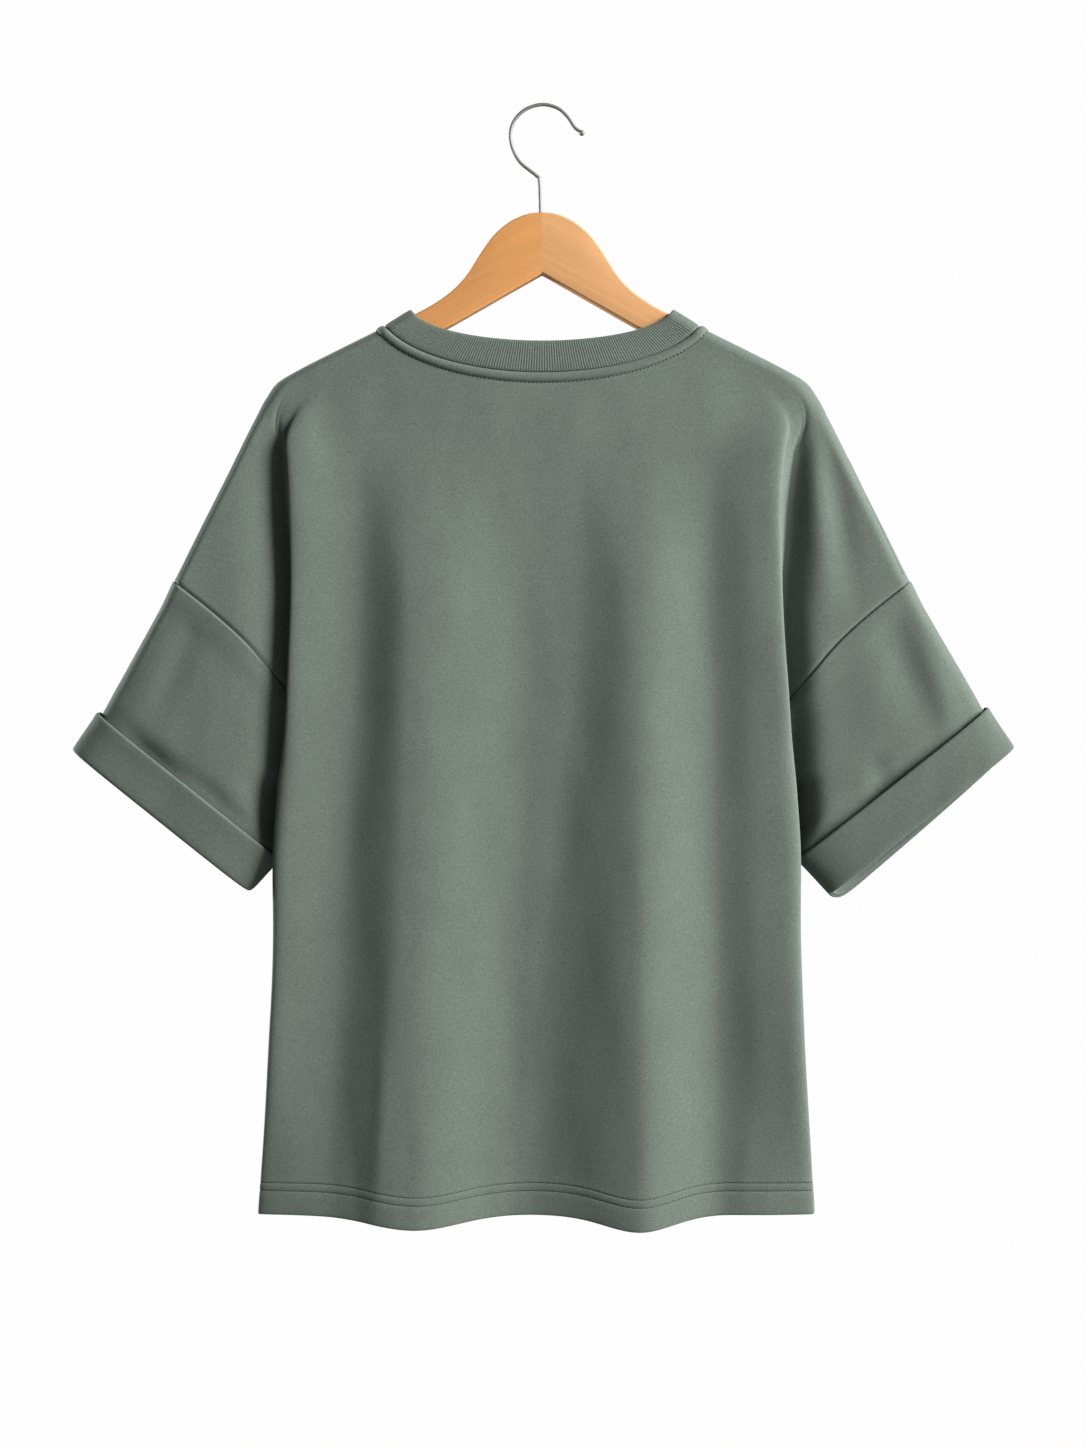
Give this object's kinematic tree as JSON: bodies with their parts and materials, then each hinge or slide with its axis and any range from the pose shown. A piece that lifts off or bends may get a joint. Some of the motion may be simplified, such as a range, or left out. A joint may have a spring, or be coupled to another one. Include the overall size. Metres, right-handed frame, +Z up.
{
  "type": "boxy short-sleeved top on a flat wooden hanger",
  "caption": "Boxy short-sleeved jersey top with dropped shoulders and turned-up cuffs, hanging on a flat wooden hanger with a wire hook.",
  "frame": {"origin": "inner crown of the wire hook, where a rail carries it", "axes": "+Z up, +Y towards the garment's front, away from the picture's viewer, +X to the viewer's right"},
  "size_m": [0.7969, 0.0762, 0.9511],
  "materials": {
    "jersey": "brushed grey-green jersey with a soft sheen",
    "rib": "fine rib in the same grey-green",
    "wood": "satin lacquer over warm light wood",
    "chrome": "polished wire"
  },
  "bodies": {
    "root": {"back_panel": "jersey", "front_panel": "jersey", "neckband": "rib", "sleeve_left": "jersey", "sleeve_right": "jersey", "cuff_left": "jersey", "cuff_right": "jersey", "hanger_arm_left": "wood", "hanger_arm_right": "wood", "hanger_hook": "chrome"}
  },
  "joints": []
}
